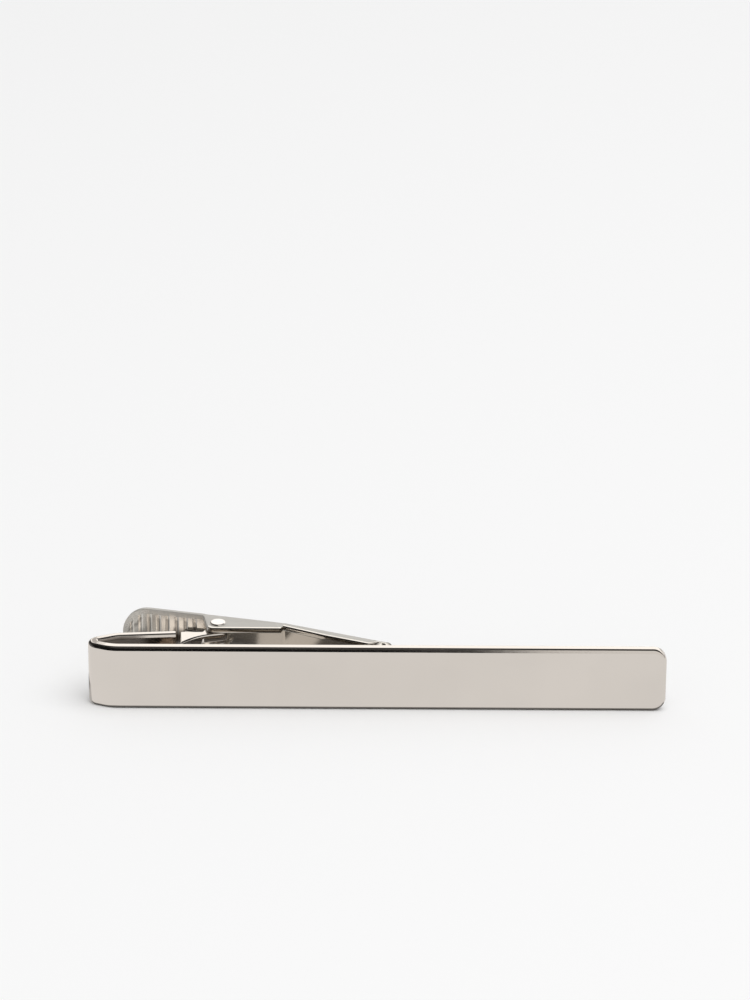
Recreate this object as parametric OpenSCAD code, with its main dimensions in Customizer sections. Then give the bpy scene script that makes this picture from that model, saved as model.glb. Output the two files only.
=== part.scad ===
// Tie clip: a folded strip with a sprung, ribbed lever that pinches the tie against its back.
// It stands on its long edge. X runs along the bar, Y from the front to the back, Z up.
// The origin is the middle of the front bar's lower edge, halfway through the strip.

/* [Bar] */
// Length from the outside of the fold to the free end
bar_l = 55; // [45:0.5:70]
// Width of the strip, which is its height as it stands
bar_w = 6.4; // [6.2:0.1:7.5]
// Thickness of the strip
strip_t = 1.1; // [0.9:0.05:1.2]
// Rounding of the long edges on the outer face
face_edge_r = 0.42; // [0.2:0.02:0.44]
// Rounding of the long edges on the inner face
inner_edge_r = 0.2; // [0.1:0.05:0.3]
// Corner radius at the free end
end_corner_r = 1.3; // [0.8:0.1:2]

/* [Fold] */
// Inner radius of the tight fold
fold_r = 0.1; // [0.05:0.05:0.3]
// Angle by which the front leans back before the tight fold
front_lean = 24; // [15:1:28]
// Inner radius of the front's gentle bend
front_bend_r = 3; // [2:0.1:4]
// Straight stretch between the gentle bend and the tight fold
front_lead = 0.7; // [0.3:0.1:1.2]
// Angle at which the strip leaves the tight fold
return_rise = 25; // [15:1:30]
// Straight stretch after the tight fold
return_lead = 1.45; // [1:0.05:2]
// Inner radius of the bend that levels the return strip
return_bend_r = 2; // [1:0.1:3]
// Angle of the return strip to the bar
return_slope = 5; // [2:1:8]
// Distance from the outside of the fold to the shoulder
shoulder_x = 8.3; // [7.5:0.1:9]

/* [Tongue] */
// Thickness of the tongue and of its ears
tongue_t = 0.8; // [0.6:0.05:0.9]
// Width over the tongue's ears
tongue_w = 4.4; // [4.1:0.1:4.6]
// Rounding of the tongue's edges on the side of the bar
tongue_edge_r = 0.2; // [0.1:0.05:0.3]
// Gap cut between the shoulder and the ears
relief_l = 0.35; // [0.2:0.05:0.5]
// Steepest angle of the tongue to the bar
tongue_rise = 52; // [45:1:55]
// Angle of the tongue's arms at the pivot
tongue_end_slope = 15; // [10:1:20]
// Inner radius of the bend at the shoulder
rise_bend_r = 0.15; // [0.1:0.05:0.3]
// Radius of the tongue's long curve, on the side of the bar
tongue_bend_r = 5; // [4:0.1:6]
// Angle at which the tongue's web stops, and the open fork for the spring begins
fork_slope = 25; // [22:1:35]
// Height of the ears' low free edge over the bar's back
ear_edge_rise = 4.7; // [4.4:0.1:5]
// Radius of the ears round the pin
ear_r = 0.95; // [0.8:0.05:1]

/* [Pivot] */
// Distance from the outside of the fold to the pin
pivot_x = 12.2; // [11.5:0.1:13]
// Height of the pin over the bar's back
pivot_rise = 5.75; // [5.5:0.05:6]
// Diameter of the pin's shank
pin_d = 0.9; // [0.7:0.05:1]
// Diameter of the riveted heads
head_d = 1.5; // [1.4:0.1:1.8]
// Height of the riveted heads
head_h = 0.14; // [0.14:0.02:0.3]
// Rounding of the heads' rim
head_rim_r = 0.12; // [0.06:0.02:0.12]
// Radial clearance of the pin in the tongue's ears
running_clearance = 0.04; // [0.02:0.01:0.08]
// Radial clearance of the pin in the lever's ears, where it is riveted
rivet_clearance = 0.01; // [0.01:0.01:0.03]

/* [Lever] */
// Thickness of the lever's sheet
lever_t = 0.5; // [0.4:0.05:0.6]
// Gap between the lever's ears and the tongue's ears, on each side
ear_clearance = 0.05; // [0.03:0.01:0.1]
// Rounding of the lever's long edges on its back
lever_back_r = 0.25; // [0.1:0.05:0.3]
// Rounding of the lever's long edges on its inside
lever_inner_r = 0.2; // [0.1:0.05:0.2]
// Angle of the lever's web to the bar when it is closed
lever_slope = 14.3; // [12:0.1:16]
// Distance from the pin's axis to the inside of the web
web_rise = 1.08; // [1.05:0.01:1.2]
// Distance from the pin to the tip of the thumb pad, along the web
pad_reach = 10; // [9.2:0.05:10.2]
// Distance from the pin to the neck, where the lever bends to the bar, along the web
neck_reach = 6.3; // [5.5:0.1:7]
// Inner radius of the bend at the neck
neck_bend_r = 1.5; // [1:0.1:3]
// Distance from the pin to the middle of the rolled jaw, along the bar
jaw_reach = 15.92; // [14:0.1:18]
// Inner radius of the rolled jaw
roll_r = 0.3; // [0.2:0.05:0.4]
// Angle through which the jaw is rolled
roll_turn = 310; // [270:5:320]
// Gap between the closed jaw and the bar's back
jaw_gap = 0.05; // [0.03:0.01:0.1]
// Distance that the lever's ears reach past the pin's axis to the bar
ear_drop = 1.2; // [1:0.05:1.3]
// Distance from the pin back to the ears' lower corner
ear_heel = 1.1; // [0.9:0.05:1.2]
// Distance from the pin back to the ears' root at the web
ear_root = 1.95; // [1.6:0.05:2.2]
// Corner radius of the ears
ear_corner_r = 0.7; // [0.5:0.05:0.75]
// Depth of the front flanges at the neck, with the sheet
flange_neck_h = 0.9; // [0.8:0.05:1]
// Depth of the front flanges at their outer end, with the sheet
flange_h = 1.2; // [1.1:0.05:1.3]
// Distance from the middle of the rolled jaw back to the flanges' end
flange_setback = 1.55; // [1.3:0.05:2]

/* [Thumb pad] */
// Number of ribs across the pad
rib_count = 8; // [4:1:8]
// Distance between ribs
rib_pitch = 0.91; // [0.8:0.01:0.95]
// Distance from the pin to the first rib, along the web
first_rib = 2.7; // [2.5:0.1:3]
// Radius of the ribs' round back, and of the grooves inside them
rib_r = 0.24; // [0.2:0.01:0.3]
// Height of the ribs over the pad's back, and depth of the grooves inside
rib_h = 0.14; // [0.08:0.01:0.18]
// Distance that the ribs stop short of the pad's edge
rib_margin = 0.43; // [0.3:0.01:0.6]

/* [Spring] */
// Diameter of the spring's wire
wire_d = 0.35; // [0.3:0.01:0.38]
// Gap between the coil and the pin
coil_clearance = 0.06; // [0.05:0.01:0.1]
// Rise of the coil in one turn
coil_pitch = 0.84; // [0.83:0.01:0.88]
// Whole turns of the coil before the half turn that brings the arms together
coil_turns = 2; // [1:1:2]
// Angle of the lower arm to the bar, where it lies on the end of the tongue's web
lower_arm_slope = 11; // [9:0.5:12]
// Length of the arm on the tongue
lower_arm_l = 2.6; // [2:0.1:3]
// Length of the arm under the thumb pad
upper_arm_l = 3.6; // [2.5:0.1:4.5]
// Gap between the upper arm's end and the web
arm_gap = 0.03; // [0.02:0.01:0.1]

/* [Hidden] */
$fn = 64;

// How far a cut runs past the faces that it goes through
overrun = 0.5;
// Share of a sheet's thickness at which a flat plate starts inside it
core_share = 0.5;
// Steps along a curve that a plate's edge follows inside the sheet
core_steps = 6;
// Flats that round each edge of a strip
edge_steps = 5;
// How far a joining stretch reaches into the bends beside it, and how far it stands proud of them
lap = 0.015;
proud = 0.005;
// Sides of the spring's wire, and its rings in a full turn
wire_sides = 8;
coil_rings = 24;

mid_z = bar_w / 2;
back_y = strip_t / 2;
ear_z = mid_z - tongue_w / 2;
lever_w = tongue_w + 2 * (ear_clearance + lever_t);
lever_z = mid_z - lever_w / 2;
pad_r = lever_w / 2;
pin_r = pin_d / 2;
roll_outer_r = roll_r + lever_t;

function along(a) = [cos(a), sin(a)];
function out_of(a) = [-sin(a), cos(a)];

// A section is [lowest z, width, thickness, outer edge rounding, inner edge rounding]
strip = [0, bar_w, strip_t, face_edge_r, inner_edge_r];
tongue = [ear_z, tongue_w, tongue_t, 0, tongue_edge_r];
low_arm = [ear_z, tongue_t, tongue_t, 0, tongue_edge_r];
high_arm = [ear_z + tongue_w - tongue_t, tongue_t, tongue_t, 0, tongue_edge_r];
lever_sheet = [lever_z, lever_w, lever_t, lever_back_r, lever_inner_r];

// Places along the strip's inner face, from the tight fold to the tongue's arms
fold_c = [
    fold_r + strip_t,
    back_y + front_bend_r - (front_bend_r - fold_r) * cos(front_lean)
        + front_lead * sin(front_lean)
];
bar_start_x = fold_c.x + (front_bend_r - fold_r) * sin(front_lean)
    + front_lead * cos(front_lean);
return_bend_c = fold_c + return_lead * along(return_rise)
    - (return_bend_r - fold_r) * out_of(return_rise);
return_start = return_bend_c + return_bend_r * out_of(return_slope);
return_l = (shoulder_x - return_start.x) / cos(return_slope);
shoulder = return_start + return_l * along(return_slope);
rise_bend_c = shoulder + (rise_bend_r + tongue_t) * out_of(return_slope);
rise_end = rise_bend_c - (rise_bend_r + tongue_t) * out_of(tongue_rise);
tongue_bend_c = rise_end - tongue_bend_r * out_of(tongue_rise);
arm_start = tongue_bend_c + tongue_bend_r * out_of(tongue_end_slope);
arm_nose_x = pivot_x + ear_r - tongue_t / 2;
arm_nose_l = (arm_nose_x - arm_start.x
    + tongue_t / 2 * sin(tongue_end_slope)) / cos(tongue_end_slope);
arm_nose = arm_start + arm_nose_l * along(tongue_end_slope)
    + tongue_t / 2 * out_of(tongue_end_slope);

pivot = [pivot_x, back_y + pivot_rise];
ear_x = shoulder_x + relief_l;
ear_edge_y = back_y + ear_edge_rise;

// The lever's own places are measured from the pin's axis, with the lever closed
neck = neck_reach * along(-lever_slope) + web_rise * out_of(-lever_slope);
jaw_c = [jaw_reach, jaw_gap + roll_outer_r - pivot_rise];
jaw_way = jaw_c - neck;
front_slope = -atan2(jaw_way.y, jaw_way.x) - asin(roll_r / norm(jaw_way));
neck_turn = front_slope - lever_slope;
neck_tangent = neck_bend_r * tan(neck_turn / 2);
front_l = sqrt(norm(jaw_way) ^ 2 - roll_r ^ 2);
flange_l = front_l - flange_setback;

coil_r = pin_r + coil_clearance + wire_d / 2;
upper_arm_flare = asin((web_rise - arm_gap - wire_d / 2 - coil_r) / upper_arm_l);
upper_arm_way = 180 - lever_slope - upper_arm_flare;
coil_from = lower_arm_slope - 90;
coil_to = upper_arm_way - 90 + 360 * coil_turns;
coil_rise = coil_pitch * (coil_to - coil_from) / 360;
coil_z = mid_z - coil_rise / 2;

// Points of a quarter round about a middle, from one angle to the next quarter
function quarter(c, r, from) =
    r > 0 ? [for (i = [0 : edge_steps]) c + r * along(from + 90 * i / edge_steps)] : [c];

// Cross-section of a strip: x from its inner face to its outer face, y across it
module section(s) {
    w = s[1];
    t = s[2];
    outer = s[3];
    inner = s[4];
    translate([0, s[0]]) polygon(concat(
        quarter([inner, inner], inner, 180),
        quarter([t - outer, outer], outer, 270),
        quarter([t - outer, w - outer], outer, 0),
        quarter([inner, w - inner], inner, 90)
    ));
}

// A straight stretch along +X with its inner face at y = 0, and what follows it. It laps a little
// into the bends beside it, which are barely slimmer.
module run(l, s, start_lap = lap) {
    translate([-start_lap, 0, 0]) rotate([90, 0, 90])
        linear_extrude(start_lap + l + lap) section(s);
    translate([l, 0, 0]) children();
}

function slim(s) = s + proud * [1, -2, -2, 0, 0];

// A bend to the right, round the inner face, and what follows it
module bend(a, r, s) {
    translate([0, -r, 0]) {
        rotate_extrude(angle = a, start = 90 - a) translate([r + proud, 0]) section(slim(s));
        rotate(-a) translate([0, r, 0]) children();
    }
}

// A bend to the left, away from the inner face, and what follows it
module back_bend(a, r, s) {
    far = r + s[2];
    translate([0, far, 0]) {
        rotate_extrude(angle = a, start = -90)
            translate([far - proud, 0]) mirror([1, 0]) section(slim(s));
        rotate(a) translate([0, -far, 0]) children();
    }
}

// Half of a plate's section, from its middle to its rounded edge, x outwards and y through it
module edge_section(reach, t, outer, inner) {
    polygon(concat(
        [[0, 0]],
        quarter([reach - inner, inner], inner, 270),
        quarter([reach - outer, t - outer], outer, 0),
        [[0, t]]
    ));
}

// The free end of the bar, with its two round corners and its edges rounded like the sides
module free_end() {
    r = end_corner_r;
    module profile() {
        edge_section(r, strip_t, face_edge_r, inner_edge_r);
    }
    translate([0, 0, r]) linear_extrude(bar_w - 2 * r) profile();
    for (side = [0, 1])
        translate([0, 0, side ? bar_w - r : r])
            mirror([0, 0, side ? 0 : 1])
                rotate([90, 0, 0]) mirror([0, 0, 1])
                    rotate_extrude(angle = 90) profile();
}

// The whole strip before the shoulder: the front bar, the fold and the return strip
module bar_strip() {
    translate([bar_l - end_corner_r, back_y, 0]) {
        mirror([0, 1, 0]) free_end();
        rotate(180)
            run(bar_l - end_corner_r - bar_start_x, strip, 0)
                bend(front_lean, front_bend_r, strip)
                    run(front_lead, strip)
                        bend(180 - front_lean - return_rise, fold_r, strip)
                            run(return_lead, strip)
                                bend(return_rise - return_slope, return_bend_r, strip)
                                    run(return_l, strip);
    }
}

// The tongue's web, from the shoulder to the open fork, and what follows it
module tongue_web() {
    translate(shoulder) rotate(return_slope)
        back_bend(tongue_rise - return_slope, rise_bend_r, tongue)
            run(0, tongue)
                bend(tongue_rise - fork_slope, tongue_bend_r, tongue)
                    run(0, tongue)
                        children();
}

// Outline of a tongue's ear: its lower edge lies inside the thickness of the arm below it
module tongue_ear_outline() {
    core = tongue_t * core_share;
    mid_r = tongue_bend_r + core;
    angle_step = (tongue_rise - tongue_end_slope) / core_steps;
    polygon([
        [ear_x, ear_edge_y],
        [ear_x, rise_end.y + core],
        for (i = [0 : core_steps])
            tongue_bend_c + mid_r * out_of(tongue_rise - i * angle_step),
        arm_nose,
        [pivot.x + ear_r, arm_nose.y],
        [pivot.x + ear_r, pivot.y],
        [pivot.x - ear_r, pivot.y],
        [pivot.x - ear_r - (pivot.y - ear_edge_y) * core_share, ear_edge_y]
    ]);
    translate(pivot) circle(ear_r);
}

// The narrow tongue: its web, the two arms of its fork and their ears
module tongue_fork() {
    difference() {
        union() {
            tongue_web()
                for (arm = [low_arm, high_arm])
                    bend(fork_slope - tongue_end_slope, tongue_bend_r, arm)
                        run(arm_nose_l, arm);
            for (arm = [low_arm, high_arm])
                translate([0, 0, arm[0]]) linear_extrude(tongue_t) {
                    tongue_ear_outline();
                    translate(arm_nose) circle(tongue_t / 2 - proud);
                }
        }
        translate([pivot.x, pivot.y, ear_z - overrun])
            cylinder(r = pin_r + running_clearance, h = tongue_w + 2 * overrun);
        // The slots that part the ears from the strip are as deep as the ears are thick
        for (z = [ear_z - overrun, ear_z + tongue_w - tongue_t])
            translate([shoulder.x - overrun, back_y, z])
                cube([relief_l + overrun, ear_edge_rise, tongue_t + overrun]);
    }
}

module folded_bar() {
    color([0.82, 0.80, 0.78]) translate([-bar_l / 2, 0, 0]) {
        bar_strip();
        tongue_fork();
    }
}

// Places what is drawn round the pin's axis
module at_pivot() {
    translate([pivot.x - bar_l / 2, pivot.y, 0]) children();
}

// The lever's sheet, from the round end of the pad to the rolled jaw
module lever_strip() {
    rotate(-lever_slope) translate([pad_r - pad_reach, web_rise, 0]) {
        translate([0, 0, mid_z]) rotate([-90, 0, 0]) rotate(90)
            rotate_extrude(angle = 180)
                edge_section(pad_r, lever_t, lever_back_r, lever_inner_r);
        run(pad_reach - pad_r + neck_reach - neck_tangent, lever_sheet, 0)
            bend(neck_turn, neck_bend_r, lever_sheet)
                run(front_l - neck_tangent, lever_sheet)
                    bend(roll_turn, roll_r, lever_sheet);
    }
}

// Outline of a lever's ear: its upper edge lies inside the web
module lever_ear_outline() {
    core = web_rise + lever_t * core_share;
    root = -ear_root * along(-lever_slope) + core * out_of(-lever_slope);
    top = neck + lever_t * core_share * out_of(-lever_slope);
    heel = [-ear_heel + ear_corner_r, ear_corner_r - ear_drop];
    side = atan2(root.y - heel.y, root.x - heel.x);
    polygon([
        root,
        heel + ear_corner_r * out_of(side),
        heel,
        [heel.x, -ear_drop],
        [neck.x, -ear_drop],
        [neck.x, top.y],
        top
    ]);
    translate(heel) circle(ear_corner_r);
}

// Outline of a front flange, from the neck towards the jaw, in the front's own direction
module flange_outline() {
    top = lever_t * core_share;
    polygon([
        [0, top],
        [0, lever_t - flange_neck_h],
        [flange_l * core_share, lever_t - flange_h],
        [flange_l, lever_t - flange_h],
        [flange_l + flange_h, top]
    ]);
}

// A groove inside the pad and the ridge that it raises on the back, i ribs from the pin
function rib_u(i) = -first_rib - i * rib_pitch;
function rib_half(i) =
    let (past = max(0, pad_r - pad_reach - rib_u(i)))
    sqrt(pad_r ^ 2 - past ^ 2) - rib_margin;

module rib(i, v) {
    translate([rib_u(i), v, mid_z - rib_half(i)])
        cylinder(r = rib_r, h = 2 * rib_half(i));
}

module clip_lever() {
    color([0.76, 0.74, 0.71]) at_pivot() difference() {
        union() {
            lever_strip();
            for (z = [lever_z, lever_z + lever_w - lever_t]) {
                translate([0, 0, z]) linear_extrude(lever_t) lever_ear_outline();
                translate([neck.x, neck.y, z]) rotate(-front_slope)
                    linear_extrude(lever_t) flange_outline();
            }
            rotate(-lever_slope)
                for (i = [0 : rib_count - 1])
                    rib(i, web_rise + lever_t + rib_h - rib_r);
        }
        rotate(-lever_slope)
            for (i = [0 : rib_count - 1])
                rib(i, web_rise + rib_h - rib_r);
        translate([0, 0, lever_z - overrun])
            cylinder(r = pin_r + rivet_clearance, h = lever_w + 2 * overrun);
    }
}

// A flat riveted head with a rounded rim, its underside at z = 0
module rivet_head() {
    head_r = head_d / 2;
    rotate_extrude() polygon(concat(
        [[0, 0], [head_r, 0]],
        quarter([head_r - head_rim_r, head_h - head_rim_r], head_rim_r, 0),
        [[0, head_h]]
    ));
}

module pivot_pin() {
    color([0.86, 0.85, 0.83]) at_pivot() {
        translate([0, 0, lever_z]) cylinder(r = pin_r, h = lever_w);
        translate([0, 0, lever_z + lever_w]) rivet_head();
        translate([0, 0, lever_z]) mirror([0, 0, 1]) rivet_head();
    }
}

// Centreline of the spring: the arm on the tongue, the coil, and the arm under the pad
function coil_point(a) = [
    coil_r * cos(a),
    coil_r * sin(a),
    coil_z + coil_rise * (a - coil_from) / (coil_to - coil_from)
];
coil_steps = ceil((coil_to - coil_from) / 360 * coil_rings);
coil_line = [
    for (i = [0 : coil_steps])
        coil_point(coil_from + (coil_to - coil_from) * i / coil_steps)
];
lower_way = -lower_arm_l * along(lower_arm_slope);
upper_way = upper_arm_l * along(upper_arm_way);
lower_arm_end = coil_line[0] + [lower_way.x, lower_way.y, 0];
upper_arm_end = coil_line[coil_steps] + [upper_way.x, upper_way.y, 0];
spring_line = concat([lower_arm_end], coil_line, [upper_arm_end]);

// Least gap of the wire to itself, among points more than half a turn apart
apart = coil_rings / 2;
last = len(spring_line) - 1;
wire_gap = min([
    for (i = [0 : last - apart])
        for (j = [i + apart : last])
            norm(spring_line[i] - spring_line[j]) - wire_d
]);
echo(least_gap_of_the_spring_to_itself = wire_gap);

// A tube of the wire's diameter along a line of points, with its ends closed
module tube(line) {
    n = len(line);
    s = wire_sides;
    function unit(v) = v / norm(v);
    function ring(i) =
        let (
            way = unit(line[min(i + 1, n - 1)] - line[max(i - 1, 0)]),
            side = unit(cross([0, 0, 1], way)),
            up = cross(way, side)
        )
        [
            for (k = [0 : s - 1])
                line[i] + wire_d / 2 * (cos(360 * k / s) * side + sin(360 * k / s) * up)
        ];
    points = [for (i = [0 : n - 1]) each ring(i)];
    walls = [
        for (i = [0 : n - 2])
            for (k = [0 : s - 1])
                let (a = i * s + k, b = i * s + (k + 1) % s)
                each [[a, a + s, b], [b, a + s, b + s]]
    ];
    start_cap = [for (k = [1 : s - 2]) [0, k, k + 1]];
    end_cap = [for (k = [1 : s - 2]) (n - 1) * s * [1, 1, 1] + [0, k + 1, k]];
    polyhedron(points, concat(walls, start_cap, end_cap));
}

module torsion_spring() {
    color([0.62, 0.60, 0.57]) at_pivot() tube(spring_line);
}

folded_bar();
clip_lever();
pivot_pin();
torsion_spring();
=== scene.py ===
import math

import bmesh
import bpy
from mathutils import Matrix, Vector
from mathutils.geometry import tessellate_polygon


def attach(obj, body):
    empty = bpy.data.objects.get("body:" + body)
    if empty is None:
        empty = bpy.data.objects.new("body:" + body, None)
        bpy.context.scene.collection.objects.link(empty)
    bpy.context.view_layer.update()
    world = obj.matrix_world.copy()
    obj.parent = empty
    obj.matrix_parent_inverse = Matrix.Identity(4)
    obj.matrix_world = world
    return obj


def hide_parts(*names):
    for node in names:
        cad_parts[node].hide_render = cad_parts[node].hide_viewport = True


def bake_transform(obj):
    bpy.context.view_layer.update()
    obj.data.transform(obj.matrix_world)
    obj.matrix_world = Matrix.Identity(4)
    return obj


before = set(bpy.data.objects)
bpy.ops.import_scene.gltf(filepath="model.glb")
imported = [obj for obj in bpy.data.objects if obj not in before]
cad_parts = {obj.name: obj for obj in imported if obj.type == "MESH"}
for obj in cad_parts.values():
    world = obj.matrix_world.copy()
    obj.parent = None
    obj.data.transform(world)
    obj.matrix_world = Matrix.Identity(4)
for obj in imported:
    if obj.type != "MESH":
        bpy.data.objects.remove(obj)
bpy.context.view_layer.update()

# Lengths below are in millimetres, as in the part's source; meshes are made in metres.
# In plan, X runs along the bar from the outside of the fold and Y from front to back.
# Angles are in degrees.
MM = 0.001

# Front bar and its strip
BAR_L, BAR_W, STRIP_T = 55.0, 6.4, 1.1
FACE_EDGE_R, INNER_EDGE_R, END_CORNER_R = 0.42, 0.2, 1.3

# Fold at the left end, and return strip behind the bar
FOLD_R, FRONT_LEAN, FRONT_BEND_R, FRONT_LEAD = 0.1, 24.0, 3.0, 0.7
RETURN_RISE, RETURN_LEAD, RETURN_BEND_R, RETURN_SLOPE = 25.0, 1.45, 2.0, 5.0
SHOULDER_X = 8.3
# Wear rounds the return strip's inner long edges more than the bar's, most of all at the bends.
RETURN_EDGE_R, BENT_EDGE_R = 0.36, 0.42

# Tongue, its fork and its ears
TONGUE_T, TONGUE_W, TONGUE_EDGE_R, RELIEF_L = 0.8, 4.4, 0.2, 0.35
TONGUE_RISE, TONGUE_END_SLOPE, RISE_BEND_R, TONGUE_BEND_R = 52.0, 15.0, 0.15, 5.0
FORK_SLOPE, EAR_EDGE_RISE, EAR_R = 25.0, 4.7, 0.95
EAR_SOFT_R, NOSE_START, NOSE_STEP_Y = 0.06, -78.0, 0.25
# Points, from where two straight edges of the ear would meet, that take off the corner between
# them: at the slot, and where the edge falls from the crown with this run for its height
SLOT_CORNER = ((0.12, 0.0), (0.035, -0.035), (0.0, -0.12))
FALL_CORNER, FALL_RUN = ((0.02, 0.04), (-0.05, 0.0)), 0.5

# Pin and its two riveted heads, which lie a little off the pin's axis
PIVOT_X, PIVOT_RISE, PIN_D, CLEARANCE = 12.2, 5.75, 0.9, 0.04
HEAD_D, HEAD_H, HEAD_RIM_R, RIVET_OFF = 1.5, 0.13, 0.11, 0.2

# Lever: sheet, web, pad and jaw
LEVER_T, EAR_CLEARANCE, LEVER_BACK_R = 0.5, 0.05, 0.25
LEVER_SLOPE, WEB_RISE, PAD_REACH, NECK_REACH, NECK_BEND_R = 14.3, 1.08, 10.0, 6.3, 1.5
JAW_REACH, ROLL_R, ROLL_TURN, JAW_GAP = 15.92, 0.3, 310.0, 0.05
# How much thicker inwards the rolled end is than the sheet
ROLL_IN = 0.12

# Lever's ears and the flanges of its front
EAR_DROP, EAR_HEEL, EAR_ROOT, EAR_CORNER_R = 1.45, 1.1, 1.95, 0.7
FLANGE_NECK_H, FLANGE_H, FLANGE_SETBACK, FLANGE_TAPER = 0.9, 1.2, 1.55, 0.61

# Roundings of the lever's free edges: outside, inside, and at the root of a side
EAR_OUT_R, EAR_IN_R, EAR_ROOT_R = 0.13, 0.12, 0.12
FRONT_OUT_R, FRONT_ROOT_R = 0.08, 0.1
PAD_BACK_R, PAD_OUT_R = 0.15, 0.04
# Depth of the flat band that a side keeps above its free edge's rounding
EAR_BAND, FRONT_BAND = 0.2, 0.16
# The most that an edge's rounding is lengthened where the edge runs steeply
MOST_STRETCH = 2.4
# Growth of a side's depth over which these sizes grow, on the web and on the front
WEB_GROWTH, FRONT_GROWTH = 0.45, 0.1

# Ribs across the pad, and the share of their height that shows in the sheet's inner face
RIB_COUNT, RIB_PITCH, FIRST_RIB, RIB_R, RIB_H, RIB_MARGIN = 8, 0.91, 2.7, 0.24, 0.14, 0.43
RIB_END, INNER_RIB = 0.12, 0.5

# Spring
WIRE_D, COIL_CLEARANCE, COIL_PITCH, COIL_TURNS = 0.35, 0.06, 0.84, 2
LOWER_ARM_SLOPE, LOWER_ARM_L, UPPER_ARM_L, ARM_GAP = 11.0, 2.6, 3.6, 0.03

# Shares of satin, from 0 to 1, on the lever
PAD_SATIN, PAD_MARGIN_SATIN, PAD_EDGE_SATIN, WEB_SATIN, ROLL_SATIN = 0.25, 0.4, 0.6, 0.1, 0.6
# Shares of painted shade, from 0 to 1, darkening the colour where shade falls: inside the fold, on
# the bent strip's flat edges, on its inner roundings (all of it where the strip is bent), in the
# ribs' grooves and on the jaw's roll
FOLD_PAINTED_SHADE, FLAT_PAINTED_SHADE, ROUNDING_PAINTED_SHADE = 0.2, 0.25, 0.65
GROOVE_PAINTED_SHADE, ROLL_PAINTED_SHADE = 0.55, 0.9
# Polished margin beside the satin inside of the fold, and where that satin ends along the bar
SATIN_EDGE, SATIN_END_X, SATIN_FADE = 0.04, 5.76, 2.0
# Middle of the pad's inner face that gets painted shade, for the shaded recess behind the strip: its
# half width, and its ends measured from the pin
RECESS_HALF_W, RECESS_START, RECESS_END = 1.15, -5.0, -1.5
RECESS_SIDE_FADE, RECESS_START_FADE, RECESS_END_FADE = 0.3, 0.25, 0.5
# Slopes of an ear's free edge over which it turns from polished to satin
POLISHED_SLOPE, SLOPE_FADE = 0.4, 0.8

# Mesh steps round the bar's edges and end corners, and round a plate's rim and hole
EDGE_STEPS, CORNER_STEPS, RIM_STEPS, HOLE_SIDES = 10, 24, 6, 48
# Rows along the strip: front, its bend, the leads beside the fold, fold, return's bend, return
BAR_ROWS, BAR_BEND_ROWS, LEAD_ROWS, FOLD_ROWS, RETURN_BEND_ROWS, RETURN_ROWS = 12, 18, 2, 64, 14, 4
# Rows along the tongue, columns across it, and steps round an ear's nose and crown
RISE_ROWS, TONGUE_ROWS, ARM_BEND_ROWS, ARM_ROWS, TONGUE_COLS = 20, 14, 6, 3, 6
NOSE_STEPS, CROWN_STEPS = 8, 28
# Steps in the lever's sides: back and free edge, the edge's inside, and the root
SIDE_STEPS, INSIDE_STEPS, ROOT_STEPS = 8, 6, 4
# Rows along the lever: pad's round end, pad, ears, web, neck bend, front and roll
DISC_ROWS, PAD_ROWS, EAR_ROWS, WEB_ROWS, NECK_ROWS, FRONT_ROWS, ROLL_ROWS = 72, 126, 70, 14, 8, 40, 56
# Rows before the roll from which the lever changes to the roll's look, and over how many it does
ROLL_LEAD_ROWS, ROLL_FADE_ROWS = 4, 8
# Steps round the rivet and its heads' rims, along the spring's parts and round its wire
RIVET_SIDES, HEAD_STEPS = 64, 14
LOWER_ARM_STEPS, COIL_STEPS, UPPER_ARM_STEPS, WIRE_SIDES = 12, 150, 14, 16

# Places worked out from the sizes
MID_Z = BAR_W / 2
BACK_Y = STRIP_T / 2
EAR_Z = MID_Z - TONGUE_W / 2
EAR_X = SHOULDER_X + RELIEF_L
LEVER_W = TONGUE_W + 2 * (EAR_CLEARANCE + LEVER_T)
LEVER_Z = MID_Z - LEVER_W / 2
PAD_R = LEVER_W / 2
PIVOT = Vector((PIVOT_X, BACK_Y + PIVOT_RISE))


def rad(a):
    return math.radians(a)


def cos(a):
    return math.cos(rad(a))


def sin(a):
    return math.sin(rad(a))


def along(a):
    return Vector((cos(a), sin(a)))


def out_of(a):
    return Vector((-sin(a), cos(a)))


def steps(a, b, n):
    return [a + (b - a) * i / n for i in range(n + 1)]


def smooth(t):
    t = min(1.0, max(0.0, t))
    return t * t * (3 - 2 * t)


def between(a, b, share):
    return a + (b - a) * share


def circle(centre, r, sides):
    return [(centre.x + r * cos(g), centre.y + r * sin(g)) for g in steps(0, 360, sides)[:-1]]


# Mesh tools
# How much larger faces count for more in the shading at rounded edges
NORMAL_WEIGHT = 90


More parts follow.
